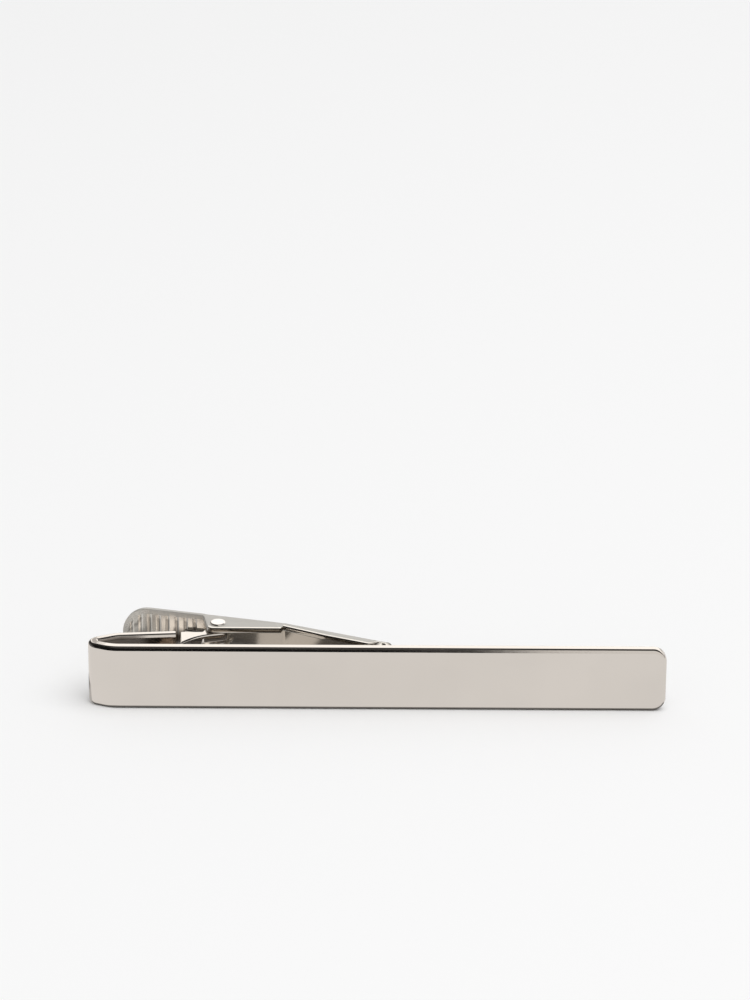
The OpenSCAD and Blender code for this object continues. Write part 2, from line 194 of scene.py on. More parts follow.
class Shell:
    """Collects points in millimetres, measured from the outside of the fold, and faces.
    Each point also has a share from 0, polished, to 1, satin, and a share of painted shade."""

    def __init__(self):
        self.points, self.faces, self.satin, self.painted_shade = [], [], [], []

    def add(self, points, satin=None, painted_shade=None):
        first = len(self.points)
        self.points += [tuple(p) for p in points]
        self.satin += satin if satin else [0.0] * len(points)
        self.painted_shade += painted_shade if painted_shade else [0.0] * len(points)
        return list(range(first, len(self.points)))

    def loft(self, rows, closed=True, satin=None, painted_shade=None):
        """Joins rows of points, each to the next, and returns the rows' point numbers."""
        loops = []
        for i, row in enumerate(rows):
            loops.append(self.add(row, satin[i] if satin else None, painted_shade[i] if painted_shade else None))
        for a, b in zip(loops, loops[1:]):
            n = len(a)
            for i in range(n if closed else n - 1):
                j = (i + 1) % n
                self.faces.append((a[i], a[j], b[j], b[i]))
        return loops

    def cap(self, loop):
        self.faces.append(tuple(loop))

    def holed(self, outer, hole):
        """Triangles between an outline and a hole, both given as point numbers in one plane."""
        lists = [[Vector(self.points[i]) for i in ring] for ring in (outer, hole)]
        for triangle in tessellate_polygon(lists):
            self.faces.append(tuple((outer + hole)[i] for i in triangle))

    def piece(self, name, body, material, node, sharp=32, weld=2e-4):
        """Makes the mesh of a visual piece, in metres and in the part's frame."""
        mesh = bpy.data.meshes.new(name)
        moved = [((x - BAR_L / 2) * MM, y * MM, z * MM) for x, y, z in self.points]
        mesh.from_pydata(moved, [], self.faces)
        mesh.attributes.new("satin", "FLOAT", "POINT").data.foreach_set("value", self.satin)
        mesh.attributes.new("painted_shade", "FLOAT", "POINT").data.foreach_set("value", self.painted_shade)
        bm = bmesh.new()
        bm.from_mesh(mesh)
        bmesh.ops.remove_doubles(bm, verts=bm.verts, dist=weld * MM)
        bmesh.ops.dissolve_degenerate(bm, edges=bm.edges, dist=weld * MM)
        bmesh.ops.recalc_face_normals(bm, faces=bm.faces)
        bm.to_mesh(mesh)
        bm.free()
        mesh.shade_smooth()
        mesh.set_sharp_from_angle(angle=rad(sharp))
        obj = bpy.data.objects.new(name, mesh)
        bpy.context.scene.collection.objects.link(obj)
        mesh.materials.append(material)
        weighted = obj.modifiers.new("weighted", "WEIGHTED_NORMAL")
        weighted.keep_sharp = True
        weighted.weight = NORMAL_WEIGHT
        if body:
            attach(obj, body)
        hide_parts(node)
        return obj


class Track:
    """A path in plan: its point lies on a sheet's inner face, its normal points to the outer face."""

    def __init__(self, point, heading):
        self.p, self.a = Vector(point), heading
        self.frames = [(self.p.copy(), self.a)]

    def mark(self):
        self.frames.append((self.p.copy(), self.a))

    def run(self, length, n):
        start = self.p.copy()
        for k in range(1, n + 1):
            self.p = start + along(self.a) * length * k / n
            self.mark()

    def bend(self, turn, r, n):
        """Turns towards the inner face, which is left with radius r."""
        centre, start = self.p - out_of(self.a) * r, self.a
        for k in range(1, n + 1):
            self.a = start - turn * k / n
            self.p = centre + out_of(self.a) * r
            self.mark()

    def back_bend(self, turn, r, t, n):
        """Turns towards the outer face, which is left with radius r, in a sheet of thickness t."""
        centre, start = self.p + out_of(self.a) * (r + t), self.a
        for k in range(1, n + 1):
            self.a = start + turn * k / n
            self.p = centre - out_of(self.a) * (r + t)
            self.mark()


# Node tools, for the materials and the world
class Nodes:
    """Short ways to add nodes to a tree. A value is a number, or another node's output."""

    def __init__(self, tree):
        self.nodes, self.links = tree.nodes, tree.links

    def new(self, kind):
        return self.nodes.new(kind)

    def link(self, output, socket):
        self.links.new(output, socket)

    def feed(self, value, socket):
        if isinstance(value, (int, float)):
            socket.default_value = value
        else:
            self.link(value, socket)

    def maths(self, kind, *values):
        """The operation carried through all the values, from left to right."""
        result = values[0]
        for value in values[1:]:
            node = self.new("ShaderNodeMath")
            node.operation = kind
            self.feed(result, node.inputs[0])
            self.feed(value, node.inputs[1])
            result = node.outputs[0]
        return result

    def times(self, *values):
        return self.maths("MULTIPLY", *values)

    def most(self, *values):
        return self.maths("MAXIMUM", *values)

    def plus(self, a, b):
        return self.maths("ADD", a, b)

    def minus(self, a, b):
        return self.maths("SUBTRACT", a, b)

    def span(self, value, low, high, to_low, to_high):
        """A range carried over to another, in a straight line."""
        node = self.new("ShaderNodeMapRange")
        node.inputs["From Min"].default_value = low
        node.inputs["From Max"].default_value = high
        node.inputs["To Min"].default_value = to_low
        node.inputs["To Max"].default_value = to_high
        self.link(value, node.inputs["Value"])
        return node.outputs["Result"]

    def ramp(self, value, low, high):
        """0 at low, 1 at high and a soft step between them; low may be the greater of the two."""
        node = self.new("ShaderNodeMapRange")
        node.interpolation_type = "SMOOTHSTEP"
        node.inputs["From Min"].default_value = low
        node.inputs["From Max"].default_value = high
        self.link(value, node.inputs["Value"])
        return node.outputs["Result"]

    def mixed(self, share, a, b):
        """a where the share is 0, b where it is 1."""
        node = self.new("ShaderNodeMix")
        node.data_type = "FLOAT"
        self.feed(share, node.inputs["Factor"])
        self.link(a, node.inputs["A"])
        self.link(b, node.inputs["B"])
        return node.outputs["Result"]

    def toned(self, share, colour, tone):
        """The colour, multiplied by a tone where the share is 1."""
        node = self.new("ShaderNodeMix")
        node.data_type = "RGBA"
        node.blend_type = "MULTIPLY"
        self.link(share, node.inputs["Factor"])
        self.link(colour, node.inputs["A"])
        node.inputs["B"].default_value = (*tone, 1)
        return node.outputs["Result"]

    def noise(self, vector, scale, detail, rough=0.5):
        node = self.new("ShaderNodeTexNoise")
        node.inputs["Scale"].default_value = scale
        node.inputs["Detail"].default_value = detail
        node.inputs["Roughness"].default_value = rough
        self.link(vector, node.inputs["Vector"])
        return node.outputs["Fac"]

    def attribute(self, name):
        node = self.new("ShaderNodeAttribute")
        node.attribute_name = name
        return node.outputs["Fac"]

    def axes(self, kind):
        """X, Y and Z of a texture coordinate."""
        split = self.new("ShaderNodeSeparateXYZ")
        self.link(self.new("ShaderNodeTexCoord").outputs[kind], split.inputs["Vector"])
        return split.outputs["X"], split.outputs["Y"], split.outputs["Z"]

    def shaders(self, share, first, second):
        """The first shader where the share is 0, the second where it is 1."""
        node = self.new("ShaderNodeMixShader")
        self.link(share, node.inputs["Fac"])
        self.link(first, node.inputs[1])
        self.link(second, node.inputs[2])
        return node.outputs["Shader"]


# Materials
# Scales of the noises in metal, and the part of their range that is used
DRIFT_SCALE, PIT_SCALE, NOISE_RANGE = 90.0, 2600.0, (0.3, 0.7)
# Share of the hairlines in the gloss, share of the pits in the relief, and its depth in metres
LINE_SHARE, PIT_SHARE, RELIEF_DEPTH = 0.5, 0.35, 0.00001
# What satin leaves of the metal's sheen
SATIN_METALLIC = 0.45


def metal(name, colour, tint, rough, spread, grain, stretch, bump, satin=None, painted_shade=None):
    """Polished metal: a slow drift of tone and gloss, fine hairlines along the piece and tiny pits.
    satin is the roughness and the tone of satin areas, whose fine grain scatters part of the
    light; the last argument is the tone of painted shade, a darkening where shade falls. Both tones
    multiply the colour."""
    m = bpy.data.materials.new(name)
    m.use_nodes = True
    g = Nodes(m.node_tree)
    bsdf = g.nodes["Principled BSDF"]
    bsdf.inputs["Metallic"].default_value = 1.0
    place = g.new("ShaderNodeTexCoord").outputs["Object"]
    drawn = g.new("ShaderNodeMapping")
    drawn.inputs["Scale"].default_value = stretch
    g.link(place, drawn.inputs["Vector"])
    drift = g.noise(place, DRIFT_SCALE, detail=3.0)
    lines = g.noise(drawn.outputs["Vector"], grain, detail=4.0, rough=0.6)
    pits = g.noise(place, PIT_SCALE, detail=2.0)

    tones = g.new("ShaderNodeValToRGB")
    for end, position, share in zip(tones.color_ramp.elements, NOISE_RANGE, (1 - tint, 1 + tint)):
        end.position = position
        end.color = (*[min(1, c * share) for c in colour], 1)
    g.link(drift, tones.inputs["Fac"])
    shade = tones.outputs["Color"]
    unevenness = g.mixed(LINE_SHARE, drift, lines)
    gloss = g.span(unevenness, *NOISE_RANGE, max(0.0, rough - spread), rough + spread)
    if satin:
        satin_rough, satin_tone = satin
        share = g.attribute("satin")
        g.link(g.span(share, 0.0, 1.0, 1.0, SATIN_METALLIC), bsdf.inputs["Metallic"])
        shade = g.toned(share, shade, satin_tone)
        matt = g.span(unevenness, *NOISE_RANGE, satin_rough - 2 * spread, satin_rough + 2 * spread)
        gloss = g.mixed(share, gloss, matt)
    # Painted shade: the colour is darkened towards this tone by each point's share of painted shade.
    if painted_shade:
        shade = g.toned(g.attribute("painted_shade"), shade, painted_shade)
    g.link(shade, bsdf.inputs["Base Color"])
    g.link(gloss, bsdf.inputs["Roughness"])

    relief = g.new("ShaderNodeBump")
    relief.inputs["Strength"].default_value = bump
    relief.inputs["Distance"].default_value = RELIEF_DEPTH
    g.link(g.mixed(PIT_SHARE, lines, pits), relief.inputs["Height"])
    g.link(relief.outputs["Normal"], bsdf.inputs["Normal"])
    return m


# The last tone of the bar and of the lever is painted shade: dark brown on the bar, almost black on
# the lever.
bar_metal = metal(
    "polished_nickel", (0.655, 0.605, 0.555), tint=0.03, rough=0.07, spread=0.03,
    grain=1500.0, stretch=(0.06, 1, 1), bump=0.05,
    satin=(0.30, (0.62, 0.60, 0.58)), painted_shade=(0.16, 0.13, 0.10),
)
lever_metal = metal(
    "satin_nickel", (0.68, 0.64, 0.58), tint=0.04, rough=0.09, spread=0.03,
    grain=1800.0, stretch=(0.1, 1, 1), bump=0.10,
    satin=(0.46, (0.80, 0.82, 0.84)), painted_shade=(0.05, 0.04, 0.03),
)
pin_metal = metal(
    "burnished_rivet", (0.72, 0.69, 0.65), tint=0.03, rough=0.10, spread=0.04,
    grain=2600.0, stretch=(1, 1, 0.2), bump=0.08,
)
wire_metal = metal(
    "drawn_wire", (0.56, 0.53, 0.49), tint=0.05, rough=0.22, spread=0.06,
    grain=3200.0, stretch=(1, 1, 1), bump=0.12,
)


# Folded bar
def bar_track():
    """The strip's inner face, from the bar's free end round the fold to the shoulder."""
    t = Track((BAR_L - END_CORNER_R, BACK_Y), 180.0)
    bend_x = FOLD_R + STRIP_T + (FRONT_BEND_R - FOLD_R) * sin(FRONT_LEAN)
    bend_x += FRONT_LEAD * cos(FRONT_LEAN)
    t.run(BAR_L - END_CORNER_R - bend_x, BAR_ROWS)
    t.bend(FRONT_LEAN, FRONT_BEND_R, BAR_BEND_ROWS)
    t.run(FRONT_LEAD, LEAD_ROWS)
    t.bend(180 - FRONT_LEAN - RETURN_RISE, FOLD_R, FOLD_ROWS)
    t.run(RETURN_LEAD, LEAD_ROWS)
    t.bend(RETURN_RISE - RETURN_SLOPE, RETURN_BEND_R, RETURN_BEND_ROWS)
    t.run((SHOULDER_X - t.p.x) / cos(RETURN_SLOPE), RETURN_ROWS)
    return t


# The track's frames where the bends' wear and painted shade set in and end, with the frames over
# which they fade, and the frames over which the return strip's edges grow rounder past the fold
WEAR_AND_SHADE_START, WEAR_AND_SHADE_START_FADE, WEAR_AND_SHADE_END, WEAR_AND_SHADE_END_FADE, RETURN_FADE = 26, 12, 100, 16, 20
# Points of the section where its flat edges end: low and high, beside the inner and outer face
LOW_INNER, LOW_OUTER = EDGE_STEPS, EDGE_STEPS + 1
HIGH_OUTER, HIGH_INNER = 3 * EDGE_STEPS + 2, 3 * EDGE_STEPS + 3
# Part of the inner rounding over which satin and painted shade set in
ROUNDING_START, ROUNDING_FADE = 0.3, 0.3


def quarter(x, z, r, start):
    """Points of a quarter round, in the direction of growing angle."""
    return [(x + r * cos(g), z + r * sin(g)) for g in steps(start, start + 90, EDGE_STEPS)]


def bar_section(inner_r):
    """Closed outline of the strip's section as (distance from the inner face, height). Its last
    two points part the inner face's satin middle from its margins."""
    outer_r = FACE_EDGE_R
    outline = quarter(inner_r, inner_r, inner_r, 180)
    outline += quarter(STRIP_T - outer_r, outer_r, outer_r, 270)
    outline += quarter(STRIP_T - outer_r, BAR_W - outer_r, outer_r, 0)
    outline += quarter(inner_r, BAR_W - inner_r, inner_r, 90)
    return outline + [(0, BAR_W - inner_r - SATIN_EDGE), (0, inner_r + SATIN_EDGE)]


def bar_row(p, a, returned, bent):
    """One section of the strip: its points, their satin and their painted shade."""
    inner_r = between(INNER_EDGE_R, RETURN_EDGE_R, returned) + (BENT_EDGE_R - RETURN_EDGE_R) * bent
    inside = smooth((SATIN_END_X - p.x) / SATIN_FADE)
    outline = bar_section(inner_r)
    n = out_of(a)
    row = [(p.x + n.x * d, p.y + n.y * d, z) for d, z in outline]
    satin = [0.0] * (len(outline) - 2) + [inside] * 2
    # Painted shade: darker inside the fold, on the bent part's flat edges and on its inner roundings,
    # where the crease lies in shade.
    painted_shade = [0.0] * (len(outline) - 2) + [FOLD_PAINTED_SHADE * inside] * 2
    for flat_end in (LOW_INNER, LOW_OUTER, HIGH_OUTER, HIGH_INNER):
        satin[flat_end] = bent
        painted_shade[flat_end] = FLAT_PAINTED_SHADE * bent
    for k in range(EDGE_STEPS + 1):
        rounded = inside * smooth((k / EDGE_STEPS - ROUNDING_START) / ROUNDING_FADE)
        for point in (HIGH_INNER + k, LOW_INNER - k):
            satin[point] = max(satin[point], rounded)
            painted_shade[point] = max(painted_shade[point], between(ROUNDING_PAINTED_SHADE, 1.0, bent) * rounded)
    return row, satin, painted_shade


def add_strip(shell, path):
    turned_at = path.frames.index(min(path.frames, key=lambda f: f[0].x))
    rows = []
    for i, (p, a) in enumerate(path.frames):
        returned = smooth((i - turned_at) / RETURN_FADE)
        bent = smooth((i - WEAR_AND_SHADE_START) / WEAR_AND_SHADE_START_FADE) * smooth((WEAR_AND_SHADE_END - i) / WEAR_AND_SHADE_END_FADE)
        rows.append(bar_row(p, a, returned, bent))
    points, satin, painted_shade = zip(*rows)
    loops = shell.loft(points, satin=satin, painted_shade=painted_shade)
    shell.cap(loops[-1])


def add_free_end(shell):
    """The bar's free end: the long edges' profile carried round both corners."""
    inner_r, outer_r = INNER_EDGE_R, FACE_EDGE_R
    angles = steps(0, 90, EDGE_STEPS)
    profile = [(inner_r - inner_r * sin(g), inner_r - inner_r * cos(g)) for g in angles]
    profile += [(outer_r - outer_r * cos(g), STRIP_T - outer_r + outer_r * sin(g)) for g in angles]
    x0, r = BAR_L - END_CORNER_R, END_CORNER_R
    ring = [(BAR_W - r, a) for a in steps(90, 0, CORNER_STEPS)]
    ring += [(r, a) for a in steps(0, -90, CORNER_STEPS)]
    rows = []
    for z, a in ring:
        rows.append([(x0 + (r - d) * cos(a), BACK_Y - t, z + (r - d) * sin(a)) for d, t in profile])
    loops = shell.loft(rows, closed=False)
    shell.cap([loop[0] for loop in loops])
    shell.cap([loop[-1] for loop in reversed(loops)])


# Keeps the border of a plate from running far inwards at its sharpest corners
MITRE_LIMIT = 0.35


def mitred_normals(points):
    """Normals into an outline, lengthened at its corners so that a border keeps its width."""
    following = points[1:] + points[:1]
    area = sum(p.x * q.y - q.x * p.y for p, q in zip(points, following))
    turn = 1 if area > 0 else -1
    normals = []
    for i, p in enumerate(points):
        before = (p - points[i - 1]).normalized()
        after = (following[i] - p).normalized()
        na = Vector((-before.y, before.x)) * turn
        nb = Vector((-after.y, after.x)) * turn
        normals.append((na + nb) / max(MITRE_LIMIT, 1 + na.dot(nb)))
    return normals


def add_plate(shell, outline, z_low, z_high, low_r, high_r, hole_r):
    """A flat plate with rounded rims and a hole for the pin. low_r and high_r give the rims'
    rounding at each point of the outline."""
    points = [Vector(p) for p in outline]
    normals = mitred_normals(points)

    def rim(z, radii, way, g):
        moved = [p + n * r * (1 - cos(g)) for p, n, r in zip(points, normals, radii)]
        return [(q.x, q.y, z + way * r * (1 - sin(g))) for q, r in zip(moved, radii)]

    rows = [rim(z_low, low_r, 1, g) for g in steps(90, 0, RIM_STEPS)]
    rows += [rim(z_high, high_r, -1, g) for g in steps(0, 90, RIM_STEPS)]
    loops = shell.loft(rows)
    ring = circle(PIVOT, hole_r, HOLE_SIDES)
    walls = shell.loft([[(x, y, z) for x, y in ring] for z in (z_low, z_high)])
    shell.holed(loops[0], walls[0])
    shell.holed(loops[-1], walls[1])


def tongue_tracks(shoulder):
    """The path of the tongue's web, up from the return strip, and of the arms past its fork."""
    web = Track(shoulder, RETURN_SLOPE)
    web.back_bend(TONGUE_RISE - RETURN_SLOPE, RISE_BEND_R, TONGUE_T, RISE_ROWS)
    web.bend(TONGUE_RISE - FORK_SLOPE, TONGUE_BEND_R, TONGUE_ROWS)
    arm = Track(web.p, web.a)
    arm.bend(FORK_SLOPE - TONGUE_END_SLOPE, TONGUE_BEND_R, ARM_BEND_ROWS)
    end_x = PIVOT_X + EAR_R - TONGUE_T / 2 + TONGUE_T / 2 * sin(TONGUE_END_SLOPE)
    arm.run((end_x - arm.p.x) / cos(TONGUE_END_SLOPE), ARM_ROWS)
    return web, arm


def add_web(shell, web, z_low, z_high):
    """The tongue's sheet between its two ears."""
    levels = steps(z_low, z_high, TONGUE_COLS)
    inner = [[(p.x, p.y, z) for z in levels] for p, a in web.frames]
    outer = []
    for p, a in web.frames:
        q = p + out_of(a) * TONGUE_T
        outer.append([(q.x, q.y, z) for z in levels])
    loops_in = shell.loft(inner, closed=False)
    loops_out = shell.loft(outer, closed=False)
    shell.cap(loops_in[-1] + list(reversed(loops_out[-1])))
    for side in (0, -1):
        edge_in, edge_out = [loop[side] for loop in loops_in], [loop[side] for loop in loops_out]
        for a, b, c, d in zip(edge_in, edge_in[1:], edge_out[1:], edge_out):
            shell.faces.append((a, b, c, d))


def crossing(points, x):
    """Where a line of points, going right, crosses a place along the bar."""
    for a, b in zip(points, points[1:]):
        if a[0] <= x < b[0]:
            return (x, a[1] + (b[1] - a[1]) * (x - a[0]) / (b[0] - a[0]))


# The ear's outline has no second point closer than this to its corner at the slot
SLOT_SPARE = 0.02


def add_ears(shell, web, arm):
    """The tongue's two ears, with their arms, parted from the strip by slots."""
    inner_line = [tuple(p) for p, a in web.frames]
    past_slot = [q for q in inner_line if q[0] > EAR_X + SLOT_SPARE]
    lower = [crossing(inner_line, EAR_X)] + past_slot + [tuple(p) for p, a in arm.frames[1:]]
    nose_c = arm.p + out_of(arm.a) * TONGUE_T / 2
    nose = [tuple(nose_c + along(arm.a + g) * TONGUE_T / 2) for g in steps(NOSE_START, 0, NOSE_STEPS)]
    step = [(PIVOT_X + EAR_R, nose_c.y + NOSE_STEP_Y)]
    crown = [tuple(PIVOT + along(g) * EAR_R) for g in steps(0, 180, CROWN_STEPS)]
    edge_y = BACK_Y + EAR_EDGE_RISE
    fall_x = PIVOT_X - EAR_R - (PIVOT.y - edge_y) * FALL_RUN
    fall = [(fall_x + dx, edge_y + dy) for dx, dy in FALL_CORNER]
    corner = [(EAR_X + dx, edge_y + dy) for dx, dy in SLOT_CORNER]
    outline = lower + nose + step + crown + fall + corner
    count = len(outline)
    outer = [TONGUE_EDGE_R if i < len(lower) else EAR_SOFT_R for i in range(count)]
    inner = [0.0 if i <= len(past_slot) else EAR_SOFT_R for i in range(count)]
    hole_r = PIN_D / 2 + CLEARANCE
    add_plate(shell, outline, EAR_Z, EAR_Z + TONGUE_T, outer, inner, hole_r)
    high_z = EAR_Z + TONGUE_W
    add_plate(shell, outline, high_z - TONGUE_T, high_z, inner, outer, hole_r)


def folded_bar():
    shell = Shell()
    path = bar_track()
    add_strip(shell, path)
    add_free_end(shell)
    web, arm = tongue_tracks(path.p)
    add_web(shell, web, EAR_Z + TONGUE_T, EAR_Z + TONGUE_W - TONGUE_T)
    add_ears(shell, web, arm)
    shell.piece("bent_strip", "bar_body", bar_metal, "folded_bar")


folded_bar()


# Lever
# Places on the web are (distance along it from the pin, height over the pin's axis).
WEB_WAY, WEB_OUT = along(-LEVER_SLOPE), out_of(-LEVER_SLOPE)

neck = WEB_WAY * NECK_REACH + WEB_OUT * WEB_RISE
jaw_c = Vector((JAW_REACH, JAW_GAP + ROLL_R + LEVER_T - PIVOT_RISE))
jaw_way = jaw_c - neck
jaw_slope = math.degrees(math.atan2(jaw_way.y, jaw_way.x))
front_slope = -jaw_slope - math.degrees(math.asin(ROLL_R / jaw_way.length))
neck_turn = front_slope - LEVER_SLOPE
neck_tangent = NECK_BEND_R * math.tan(rad(neck_turn / 2))
front_l = math.sqrt(jaw_way.length ** 2 - ROLL_R ** 2)
flange_l = front_l - FLANGE_SETBACK
pad_end_u = PAD_R - PAD_REACH
neck_u = NECK_REACH - neck_tangent

# Columns across the pad's and the web's faces, as shares of half the width
HALF_COLS = [-1, -0.985, -0.965, -0.94, -0.9, -0.85, -0.8, -0.7, -0.55, -0.35, -0.12]
FACE_COLS = HALF_COLS + [-c for c in reversed(HALF_COLS)]
# Two rows in a side's flat band: shares of the band, and the most they take of the side
BAND_ROWS = ((1.25, 0.66), (1, 0.33))
# Points beside the inner face that share its satin
INNER_POINTS = 5
# Share of the half width where the inner face's margin sets in, and the width of its fade
MARGIN_START, MARGIN_FADE = 0.8, 0.15
# Where the rows grow closer before the ears' heels, and where the pad's satin ends
HEEL_ROWS_U, PAD_SATIN_END, PAD_SATIN_FADE = -2.1, -2.3, 0.8


def rib_lift(u, z):
    """Height of the pressed ribs at a place on the pad, u from the pin along the web."""
    i = round((-u - FIRST_RIB) / RIB_PITCH)
    if i < 0 or i >= RIB_COUNT:
        return 0.0
    at = -FIRST_RIB - i * RIB_PITCH
    past = max(0.0, pad_end_u - at)
    half = math.sqrt(PAD_R ** 2 - past ** 2) - RIB_MARGIN
    off = abs(u - at)
    if off >= RIB_R:
        return 0.0
    lift = math.sqrt(RIB_R ** 2 - off ** 2) - (RIB_R - RIB_H)
    return max(0.0, lift) * smooth((half - abs(z)) / RIB_END + 0.5)


def lever_side(depth, back_r, out_r, in_r, root_r, band, stretch):
    """One side of the lever's section, from the back face round the free edge to the inner face:
    (distance in from the side, distance from the inner face). stretch lengthens the free edge's
    rounding along the section where the edge runs steeply across it."""
    t = LEVER_T
    top, low = t - back_r, t - depth
    out_l, in_l = out_r * stretch, in_r * stretch
    angles = steps(0, 90, SIDE_STEPS)
    side = [(back_r - back_r * sin(g), top + back_r * cos(g)) for g in angles]
    for share, limit in BAND_ROWS:
        side += [(0, low + out_l + min(band * stretch * share, (top - low - out_l) * limit))]
    side += [(out_r - out_r * cos(g), low + out_l - out_l * sin(g)) for g in angles]
    inside = steps(0, 90, INSIDE_STEPS)
    side += [(t - in_r + in_r * sin(g), low + in_l - in_l * cos(g)) for g in inside]
    side += [(t, between(low + in_l, -root_r, 0.5))]
    root = steps(0, 90, ROOT_STEPS)
    side += [(t + root_r - root_r * cos(g), root_r * sin(g) - root_r) for g in root]
    return side


def pad_painted_shade(c, u, sine, cosine):
    """Painted shade on the pad's inner face: dark lines in the ribs' grooves, and its shaded middle
    near the pin.
    """
    groove = rib_lift(u - PAD_R * cosine * abs(c), c * PAD_R * sine) / RIB_H
    recess = smooth((RECESS_HALF_W - abs(c * PAD_R)) / RECESS_SIDE_FADE)
    recess *= smooth((u - RECESS_START) / RECESS_START_FADE)
    recess *= smooth((RECESS_END - u) / RECESS_END_FADE)
    return max(GROOVE_PAINTED_SHADE * groove, recess)


def lever_row(
    p, a, depth, back_r, out_r, in_r=0.0, root_r=0.0, band=0.0, stretch=1.0, u=None, disc=90.0,
    satin=1.0, edge_satin=1.0, inner_satin=1.0, margin_satin=0.0, edge_painted_shade=0.0,
):
    """A closed section of the lever at a place on its path: its points, their satin and their
    painted shade. u is the place along the web, for the ribs; disc is the angle round the pad's end."""
    n_way, t_way = out_of(a), along(a)
    sine, cosine = sin(disc), cos(disc)
    side = lever_side(depth, back_r, out_r, in_r, root_r, band, stretch)

    def at(reach, d, across):
        q = p - t_way * reach * cosine + n_way * d
        return (q.x, q.y, MID_Z + across * reach * sine)

    def face(reach, d, cols, pressed):
        points = []
        for c in cols:
            lift = 0.0 if u is None else rib_lift(u - reach * cosine, c * reach * sine) * pressed
            points.append(at(reach, d + lift, c))
        return points

    row = face(PAD_R - back_r, LEVER_T, FACE_COLS, 1.0)
    row += [at(PAD_R - s, d, 1) for s, d in side[1:-1]]
    row += face(PAD_R - side[-1][0], 0.0, [-c for c in FACE_COLS], INNER_RIB)
    row += [at(PAD_R - s, d, -1) for s, d in reversed(side[1:-1])]

    margins = [smooth((abs(c) - MARGIN_START) / MARGIN_FADE) for c in FACE_COLS]
    inner = [between(inner_satin, margin_satin, m) for m in margins]
    # A side's first and last points are points of the faces already.
    rest = len(side) - 2 - (SIDE_STEPS + 1) - INNER_POINTS
    edge = [satin] * (SIDE_STEPS + 1) + [edge_satin] * rest + [inner_satin] * INNER_POINTS
    row_satin = [satin] * len(FACE_COLS) + edge + inner + edge[::-1]

    # Painted shade: dark lines in the pad's grooves, its shaded middle near the pin, and a dark rim
    # on the roll's edges.
    painted_dark = [0.0 if u is None else pad_painted_shade(c, u, sine, cosine) for c in FACE_COLS]
    rim = [0.0] + [edge_painted_shade] * (SIDE_STEPS - 1) + [0.0] * (len(edge) - SIDE_STEPS)
    row_painted_shade = [0.0] * len(FACE_COLS) + rim + painted_dark + rim[::-1]
    return row, row_satin, row_painted_shade


def in_web(x, y):
    """A place round the pin, as a place on the web."""
    q = Vector((x, y))
    return Vector((q.dot(WEB_WAY), q.dot(WEB_OUT)))


# The ear's outline near its heel: the rounded corner's centre, the straight line down to it from
# the root, and where the free edge leaves it
heel_c = Vector((EAR_CORNER_R - EAR_HEEL, EAR_CORNER_R - EAR_DROP))
heel_in_web = in_web(*heel_c)
root_in_web = Vector((-EAR_ROOT, WEB_RISE + LEVER_T / 2))
heel_side = root_in_web - heel_in_web
heel_line = heel_in_web + Vector((-heel_side.y, heel_side.x)).normalized() * EAR_CORNER_R
heel_low = in_web(heel_c.x, -EAR_DROP)


def ear_depth(u):
    """Depth of the lever's sides below its back face, at a place along the web."""
    if u <= heel_line.x:
        k = (u - root_in_web.x) / (heel_line.x - root_in_web.x)
        height = root_in_web.y + (heel_line.y - root_in_web.y) * k
    elif u < heel_low.x:
        height = heel_in_web.y - math.sqrt(EAR_CORNER_R ** 2 - (u - heel_in_web.x) ** 2)
    else:
        height = (-EAR_DROP + u * sin(LEVER_SLOPE)) / cos(LEVER_SLOPE)
    return max(LEVER_T, LEVER_T + WEB_RISE - height)


def on_web(u):
    return PIVOT + WEB_WAY * u + WEB_OUT * WEB_RISE


def pad_end_row(angle):
    """The pad's section, swung round the centre of its round end."""
    return lever_row(
        on_web(pad_end_u), -LEVER_SLOPE, LEVER_T, PAD_BACK_R, PAD_OUT_R, u=pad_end_u, disc=angle,
        edge_satin=PAD_EDGE_SATIN, inner_satin=PAD_SATIN, margin_satin=PAD_MARGIN_SATIN,
    )


# Distance to each side over which the slope of the ears' outline is taken
SLOPE_STEP = 0.02


def web_row(u):
    """The section at a place along the pad and the web, with its sides as deep as the ears."""
    depth = ear_depth(u)
    rise = (ear_depth(u + SLOPE_STEP) - ear_depth(u - SLOPE_STEP)) / (2 * SLOPE_STEP)
    eared = smooth((depth - LEVER_T) / WEB_GROWTH)
    level = 1 - smooth((abs(rise) - POLISHED_SLOPE) / SLOPE_FADE)
    past_pad = smooth((u - PAD_SATIN_END) / PAD_SATIN_FADE)
    return lever_row(
        on_web(u), -LEVER_SLOPE, depth, u=u,
        back_r=between(PAD_BACK_R, LEVER_BACK_R, eared),
        out_r=between(PAD_OUT_R, EAR_OUT_R, eared),
        in_r=EAR_IN_R * eared,
        root_r=EAR_ROOT_R * eared,
        band=EAR_BAND * eared,
        stretch=between(1.0, min(MOST_STRETCH, math.hypot(1, rise)), eared),
        edge_satin=1 - eared * level,
        inner_satin=between(PAD_SATIN, WEB_SATIN, past_pad),
        margin_satin=between(PAD_MARGIN_SATIN, WEB_SATIN, past_pad),
    )


# Rows of the neck's bend over which the ears' depth goes over to the flanges', and the part of
# the flanges' length over which they grow to their full depth
NECK_FADE_ROWS, FLANGE_GROWTH = 3, 0.5


def front_depth(i):
    """Depth of the sides past the web, at a row of the neck's bend, the front and the roll."""
    if i <= NECK_ROWS:
        return between(ear_depth(neck_u), FLANGE_NECK_H, smooth(i / NECK_FADE_ROWS))
    if i > NECK_ROWS + FRONT_ROWS:
        return LEVER_T
    u = (i - NECK_ROWS) / FRONT_ROWS * (front_l - neck_tangent)
    grown = between(FLANGE_NECK_H, FLANGE_H, min(1.0, u / (flange_l * FLANGE_GROWTH)))
    fall = (u - flange_l) / FLANGE_TAPER
    return grown if fall < 0 else max(LEVER_T, grown - (FLANGE_H - LEVER_T) * fall)


# The front's roundings as shares of the depth, of the depth past the sheet, and of the ears' own
OUT_R_SHARE, ROOT_R_SHARE, IN_R_SHARE = 0.3, 0.4, 0.8


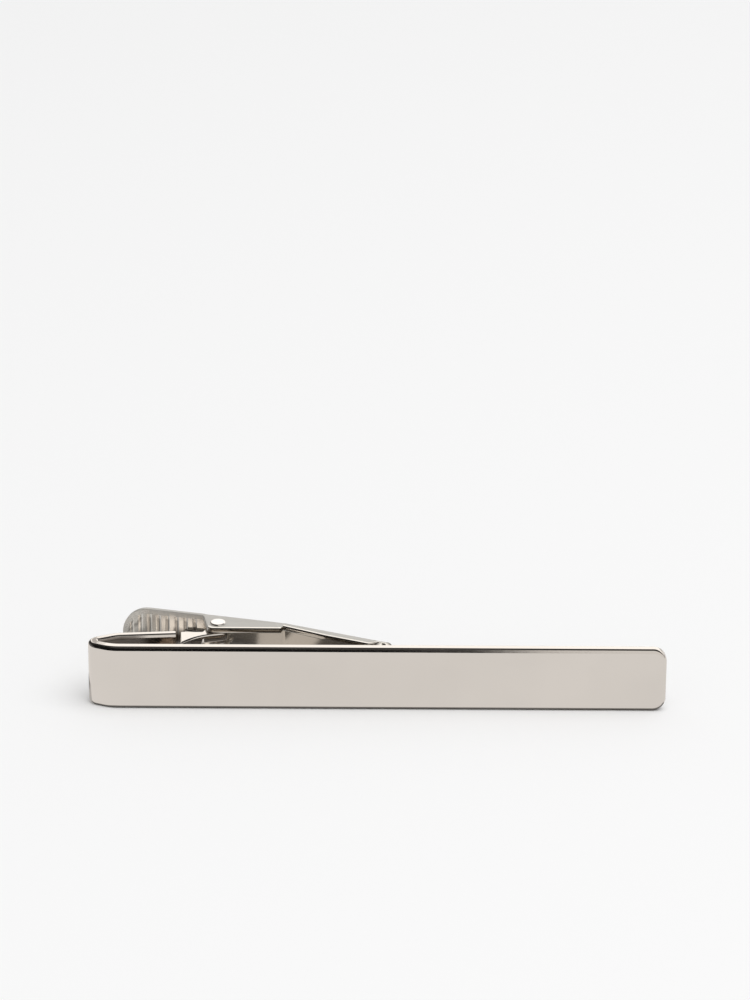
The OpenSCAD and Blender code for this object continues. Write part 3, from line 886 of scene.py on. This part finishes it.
def front_row(i, p, a):
    """The section at a row past the web. It thickens inwards at the roll."""
    depth = front_depth(i)
    flanged = smooth((depth - LEVER_T) / FRONT_GROWTH)
    rolled = smooth((i - (NECK_ROWS + FRONT_ROWS - ROLL_LEAD_ROWS)) / ROLL_FADE_ROWS)
    depth += ROLL_IN * rolled
    return lever_row(
        p, a, depth,
        back_r=between(LEVER_BACK_R, PAD_BACK_R, rolled),
        out_r=between(FRONT_OUT_R, min(EAR_OUT_R, depth * OUT_R_SHARE), flanged),
        in_r=EAR_IN_R * flanged * IN_R_SHARE,
        root_r=min(FRONT_ROOT_R, max(0.0, depth - LEVER_T) * ROOT_R_SHARE),
        band=FRONT_BAND * flanged,
        satin=1 - rolled,
        edge_satin=0.0,
        inner_satin=ROLL_SATIN * rolled,
        # Painted shade: a dark rim along the roll's edges.
        edge_painted_shade=ROLL_PAINTED_SHADE * rolled,
    )


def pressed_lever():
    rows = [pad_end_row(angle) for angle in steps(0, 90, DISC_ROWS)]
    web_end_u = neck_u - SLOPE_STEP
    rows += [web_row(u) for u in steps(pad_end_u, HEEL_ROWS_U, PAD_ROWS)[1:]]
    rows += [web_row(u) for u in steps(HEEL_ROWS_U, 0.0, EAR_ROWS)[1:]]
    rows += [web_row(u) for u in steps(0.0, web_end_u, WEB_ROWS)[1:]]
    track = Track(on_web(neck_u), -LEVER_SLOPE)
    track.bend(neck_turn, NECK_BEND_R, NECK_ROWS)
    track.run(front_l - neck_tangent, FRONT_ROWS)
    track.bend(ROLL_TURN, ROLL_R, ROLL_ROWS)
    rows += [front_row(i, p, a) for i, (p, a) in enumerate(track.frames)]
    points, satin, painted_shade = zip(*rows)
    shell = Shell()
    loops = shell.loft(points, satin=satin, painted_shade=painted_shade)
    shell.cap(loops[-1])
    shell.piece("pressed_lever", "lever_body", lever_metal, "clip_lever")


pressed_lever()


# Rivet
# The heads' middle point is a ring this small, and their flat has one more ring, at this share
HEAD_MIDDLE_R, HEAD_RING = 1e-4, 0.4


def lathe(shell, profile, centre):
    shell.loft([[(x, y, z) for x, y in circle(centre, r, RIVET_SIDES)] for r, z in profile])


def rivet():
    """The pin's shank, with a low flat head with a rounded rim on each end."""
    rim_r, head_r = HEAD_RIM_R, HEAD_D / 2
    head = [(HEAD_MIDDLE_R, HEAD_H), (head_r * HEAD_RING, HEAD_H)]
    for g in steps(0, 90, HEAD_STEPS):
        head.append((head_r - rim_r + rim_r * sin(g), HEAD_H - rim_r + rim_r * cos(g)))
    head.append((head_r, 0.0))
    high_z, low_z = LEVER_Z + LEVER_W, LEVER_Z
    off_axis = PIVOT - Vector((0, RIVET_OFF))
    shell = Shell()
    lathe(shell, [(r, high_z + h) for r, h in head], off_axis)
    lathe(shell, [(PIN_D / 2, high_z), (PIN_D / 2, low_z)], PIVOT)
    lathe(shell, [(r, low_z - h) for r, h in reversed(head)], off_axis)
    shell.piece("rivet", "lever_body", pin_metal, "pivot_pin", sharp=40, weld=5e-4)


rivet()


# Spring
coil_r = PIN_D / 2 + COIL_CLEARANCE + WIRE_D / 2
flare = math.degrees(math.asin((WEB_RISE - ARM_GAP - WIRE_D / 2 - coil_r) / UPPER_ARM_L))
upper_way = 180 - LEVER_SLOPE - flare
coil_start = LOWER_ARM_SLOPE - 90
coil_end = upper_way - 90 + 360 * COIL_TURNS
coil_rise = COIL_PITCH * (coil_end - coil_start) / 360
coil_z = MID_Z - coil_rise / 2


def spring_line():
    """The wire's middle line: the arm on the tongue, the coil and the arm under the pad."""
    line = []
    for k in steps(1, 0, LOWER_ARM_STEPS)[:-1]:
        q = PIVOT + along(coil_start) * coil_r - along(LOWER_ARM_SLOPE) * LOWER_ARM_L * k
        line.append(Vector((q.x, q.y, coil_z)))
    for k in steps(0, 1, COIL_STEPS):
        q = PIVOT + along(between(coil_start, coil_end, k)) * coil_r
        line.append(Vector((q.x, q.y, coil_z + coil_rise * k)))
    for k in steps(0, 1, UPPER_ARM_STEPS)[1:]:
        q = PIVOT + along(coil_end) * coil_r + along(upper_way) * UPPER_ARM_L * k
        line.append(Vector((q.x, q.y, coil_z + coil_rise)))
    return line


# Rings, as shares of the wire's own, that close its two cut ends
END_RINGS = (0.9, 0.0)


def coil_spring():
    line = spring_line()
    rings = []
    for i, q in enumerate(line):
        way = (line[min(i + 1, len(line) - 1)] - line[max(i - 1, 0)]).normalized()
        aside = Vector((0, 0, 1)).cross(way).normalized()
        up = way.cross(aside)
        angles = steps(0, 360, WIRE_SIDES)[:-1]
        rings.append([tuple(q + (aside * cos(g) + up * sin(g)) * WIRE_D / 2) for g in angles])
    shell = Shell()
    for end in (0, -1):
        closing = [rings[end]]
        for share in END_RINGS:
            closing.append([tuple(line[end] + (Vector(p) - line[end]) * share) for p in rings[end]])
        shell.loft(closing)
    shell.loft(rings)
    spring = shell.piece(
        "coil_spring", None, wire_metal, "torsion_spring", sharp=50, weld=5e-4
    )
    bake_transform(spring)


coil_spring()


# Floor
FLOOR_SIZE, FLOOR_COLOUR, FLOOR_ROUGH, GLOW_COLOUR = 3.0, (0.92, 0.92, 0.92), 0.9, (0.95, 0.95, 0.95)
# Soft edges of the painted light and painted shadow that metal sees on the floor, each from
# unlit to lit, in millimetres from the bar's middle (X) and from halfway through the strip (Y)
BEHIND_BAR_Y = (0.5, 0.6)
BEFORE_RETURN_Y = (3.6, 3.2)
IN_FOLD_X = (-19.0, -19.6)
# A band that runs aslant under the tongue, and how much it moves left for each step back
TONGUE_BAND_LEFT, TONGUE_BAND_RIGHT, TONGUE_SLANT = (-14.85, -14.6), (-10.6, -11.6), 0.546
PAST_JAW_X = (0.0, 7.0)
# Both ends, where the left one counts to the front only, and farther out on the left
PAST_END_X, PAST_LEFT_Y, FAR_LEFT_X = (27.9, 28.6), (1.0, 0.4), (30.0, 31.5)
BEHIND_PAD_Y, UNDER_PAD_Y = (4.0, 4.6), (8.6, 8.0)
UNDER_PAD_LEFT_X, UNDER_PAD_RIGHT_X = (-27.9, -27.2), (-17.6, -18.4)
# The painted contact shadow's front edge, which follows the front's lean from LEAN_X to the left on,
# and its back edge
SHADOW_FRONT_Y, LEAN_X, LEAN_SLOPE, SHADOW_BACK_Y = (-0.62, -0.95), 25.0, 0.445, (6.0, 6.8)
IN_FOLD_GLOW = 0.6
# Painted light: a glow under the pad, and how much is added where it is mirrored a second time
UNDER_PAD_GLOW, SECOND_GLOW, SECOND_BOUNCE = 0.8, 1.5, 1.5
# Share of the floor that the glow takes over in a mirror, where it is dark and what light adds
COVER_DARK, COVER_LIT = 0.7, 0.3


def paper_with_painted_glow():
    """Matt pale paper. For metal it glows as painted light: pale ground, brightest under the pad,
    with painted shadow where the bar stands on it and in the space under the tongue."""
    m = bpy.data.materials.new("paper_with_painted_glow")
    m.use_nodes = True
    g = Nodes(m.node_tree)
    bsdf = g.nodes["Principled BSDF"]
    bsdf.inputs["Base Color"].default_value = (*FLOOR_COLOUR, 1)
    bsdf.inputs["Roughness"].default_value = FLOOR_ROUGH
    bsdf.inputs["Specular IOR Level"].default_value = 0.0
    x, y = g.axes("Object")[:2]
    to_left = g.times(x, -1.0)

    def edge(value, ends):
        return g.ramp(value, ends[0] * MM, ends[1] * MM)

    slant = g.plus(x, g.times(y, TONGUE_SLANT))
    behind_bar = edge(y, BEHIND_BAR_Y)
    tongue_band = g.times(behind_bar, edge(slant, TONGUE_BAND_LEFT), edge(slant, TONGUE_BAND_RIGHT))
    in_fold = g.times(behind_bar, edge(y, BEFORE_RETURN_Y), edge(x, IN_FOLD_X), IN_FOLD_GLOW)
    past_jaw = g.times(behind_bar, edge(x, PAST_JAW_X))
    past_left = g.times(edge(to_left, PAST_END_X), edge(y, PAST_LEFT_Y))
    past_ends = g.most(edge(x, PAST_END_X), past_left, edge(to_left, FAR_LEFT_X))
    lean_back = g.times(g.most(g.minus(to_left, LEAN_X * MM), 0.0), LEAN_SLOPE)
    before_bar = edge(g.minus(y, lean_back), SHADOW_FRONT_Y)
    painted_lit_ground = g.most(
        before_bar, edge(y, SHADOW_BACK_Y), tongue_band, in_fold, past_ends, past_jaw
    )

    path = g.new("ShaderNodeLightPath")
    second = g.maths("GREATER_THAN", path.outputs["Glossy Depth"], SECOND_BOUNCE)
    painted_light_under_pad = g.times(
        edge(y, BEHIND_PAD_Y), edge(y, UNDER_PAD_Y),
        edge(x, UNDER_PAD_LEFT_X), edge(x, UNDER_PAD_RIGHT_X),
        g.plus(g.times(second, SECOND_GLOW), UNDER_PAD_GLOW),
    )
    # The glow's strength is painted light and its dark parts are painted shadow; only mirrors see
    # them.
    strength = g.most(painted_lit_ground, painted_light_under_pad)
    glow = g.new("ShaderNodeEmission")
    glow.inputs["Color"].default_value = (*GLOW_COLOUR, 1)
    g.link(strength, glow.inputs["Strength"])
    covered = g.plus(g.times(g.maths("MINIMUM", strength, 1.0), COVER_LIT), COVER_DARK)
    mirrored = g.times(covered, path.outputs["Is Glossy Ray"])
    seen = g.shaders(mirrored, bsdf.outputs["BSDF"], glow.outputs["Emission"])
    g.link(seen, g.nodes["Material Output"].inputs["Surface"])
    return m


def studio_floor():
    s = FLOOR_SIZE
    mesh = bpy.data.meshes.new("floor")
    mesh.from_pydata([(-s, -s, 0), (s, -s, 0), (s, s, 0), (-s, s, 0)], [], [(0, 1, 2, 3)])
    floor = bpy.data.objects.new("floor", mesh)
    mesh.materials.append(paper_with_painted_glow())
    bpy.context.scene.collection.objects.link(floor)


studio_floor()


# World
# Soft edges of the room that metal mirrors, each from unlit to lit, as parts of a direction of
# length 1; X is to the right, Y to the back and Z up. FRONT is measured to the front, and
# WALL_LEFT and FAR_LEFT to the left.
FRONT, FRONT_RIGHT_X, FRONT_GLOW = (0.1, 0.25), (0.027, 0.04), 0.9
WALL_Y, WALL_TOP_Z, WALL_LEFT, WALL_GLOW = (0.25, 0.45), (0.68, 0.55), (0.42, 0.2), 1.45
# The wall is dimmer towards the floor, down to this share
WALL_FOOT_Z, WALL_FOOT_SHARE = (0.08, 0.28), 0.4
RIGHT_X, SIDE_TOP_Z, RIGHT_GLOW = (0.55, 0.85), (0.6, 0.3), 0.55
OVERHEAD_Z, OVERHEAD_GLOW = (0.94, 0.99), 0.08
FAR_LEFT, FAR_LEFT_GLOW = (0.72, 0.85), 0.15
ROOM_Y, ROOM_GLOW, ROOM_DARK = (-0.2, 0.5), 0.03, 0.008
# What light sees that has been mirrored two or three times before, as inside the fold
DEEP_BOUNCES, DEEP_GLOW = (1.5, 2.5), 0.3
ROOM_COLOUR, WHITE, BACKDROP = (1.0, 0.99, 0.975), (1.0, 1.0, 1.0), (0.92, 0.92, 0.92)
# Light from all round on the floor, and what is added for light that metal has mirrored
FILL, MIRRORED_FILL = 0.565, 0.22


def mirrored_room(g, path):
    """A bright wall behind, from the floor up to about 38 degrees, a dark ceiling, and a front
    that is dark on the left and pale on the right. Light that has been inside the fold sees a
    dim room."""
    x, y, z = g.axes("Generated")
    to_front, to_left = g.times(y, -1.0), g.times(x, -1.0)
    front_right = g.times(g.ramp(to_front, *FRONT), g.ramp(x, *FRONT_RIGHT_X), FRONT_GLOW)
    foot = g.plus(g.times(g.ramp(z, *WALL_FOOT_Z), 1 - WALL_FOOT_SHARE), WALL_FOOT_SHARE)
    wall_edges = g.times(g.ramp(y, *WALL_Y), g.ramp(z, *WALL_TOP_Z), g.ramp(to_left, *WALL_LEFT))
    wall = g.times(wall_edges, foot, WALL_GLOW)
    side_low = g.ramp(z, *SIDE_TOP_Z)
    right = g.times(g.ramp(x, *RIGHT_X), side_low, RIGHT_GLOW)
    cards = g.most(wall, right, front_right)
    overhead = g.times(g.ramp(z, *OVERHEAD_Z), OVERHEAD_GLOW)
    far_left = g.times(g.ramp(to_left, *FAR_LEFT), side_low, FAR_LEFT_GLOW)
    room = g.plus(g.times(g.ramp(y, *ROOM_Y), ROOM_GLOW), ROOM_DARK)
    room = g.plus(room, g.most(overhead, far_left))
    deep = g.times(g.ramp(path.outputs["Glossy Depth"], *DEEP_BOUNCES), DEEP_GLOW)
    return g.most(g.plus(cards, room), deep)


def studio_world():
    """The mirrored room for light that metal mirrors, an even fill for the floor, and a plain
    backdrop for the camera."""
    world = bpy.data.worlds.new("studio")
    bpy.context.scene.world = world
    world.use_nodes = True
    g = Nodes(world.node_tree)
    g.nodes.clear()
    path = g.new("ShaderNodeLightPath")

    def background(colour, strength):
        node = g.new("ShaderNodeBackground")
        node.inputs["Color"].default_value = (*colour, 1)
        g.feed(strength, node.inputs["Strength"])
        return node.outputs["Background"]

    mirrored = path.outputs["Is Glossy Ray"]
    room = background(ROOM_COLOUR, mirrored_room(g, path))
    fill = background(WHITE, g.plus(g.times(mirrored, MIRRORED_FILL), FILL))
    direct = g.minus(1.0, g.maths("MINIMUM", path.outputs["Diffuse Depth"], 1.0))
    seen = g.shaders(g.times(mirrored, direct), fill, room)
    seen = g.shaders(path.outputs["Is Camera Ray"], seen, background(BACKDROP, 1.0))
    g.link(seen, g.new("ShaderNodeOutputWorld").inputs["Surface"])


studio_world()


# Lamp
LAMP_PLACE, LAMP_SIZE, LAMP_WATTS = (0.45, -0.3, 1.3), 1.4, 12.9


def softbox():
    """A large soft lamp above, to the right and the front, that metal doesn't mirror."""
    data = bpy.data.lights.new("softbox", "AREA")
    data.shape = "RECTANGLE"
    data.size = LAMP_SIZE
    data.size_y = LAMP_SIZE
    data.energy = LAMP_WATTS
    lamp = bpy.data.objects.new("softbox", data)
    lamp.location = LAMP_PLACE
    lamp.rotation_euler = (-Vector(LAMP_PLACE)).to_track_quat("-Z", "Y").to_euler()
    lamp.visible_glossy = False
    lamp.visible_camera = False
    bpy.context.scene.collection.objects.link(lamp)


softbox()


# Camera
# PX_PER_MM is the photograph's scale at the aim, and DISTANCE is in metres. The aim lies this
# many pixels below and to the right of the middle of the picture.
PX_PER_MM, DISTANCE, ELEVATION, ROLL = 10.521, 0.4, 26.0, 0.29
AIM_BELOW_PX, AIM_RIGHT_PX = 179.8, 3.1
SENSOR_W, PICTURE_H_PX = 36.0, 1000
CLIP_START, CLIP_END = 0.02, 50


def camera():
    """Looks at the middle of the front face, then turns so that it falls where the photograph
    has it. The sensor's width is taken along the picture's longer side, its height."""
    data = bpy.data.cameras.new("camera")
    lens_px = PX_PER_MM * DISTANCE / MM
    data.sensor_width = SENSOR_W
    data.lens = lens_px / PICTURE_H_PX * SENSOR_W
    data.clip_start = CLIP_START
    data.clip_end = CLIP_END
    cam = bpy.data.objects.new("camera", data)
    bpy.context.scene.collection.objects.link(cam)
    bpy.context.scene.camera = cam
    aim = Vector((0.0, -BACK_Y * MM, MID_Z * MM))
    toward = Vector((0, cos(ELEVATION), -sin(ELEVATION)))
    cam.location = aim - toward * DISTANCE
    raised = math.degrees(math.atan(AIM_BELOW_PX / lens_px))
    aside = math.degrees(math.atan(AIM_RIGHT_PX / lens_px))
    turn = Matrix.Rotation(rad(aside), 4, "Z")
    turn = turn @ Matrix.Rotation(rad(90 - ELEVATION + raised), 4, "X")
    turn = turn @ Matrix.Rotation(rad(ROLL), 4, "Z")
    cam.rotation_euler = turn.to_euler()


camera()

bpy.context.scene.view_settings.view_transform = "Standard"
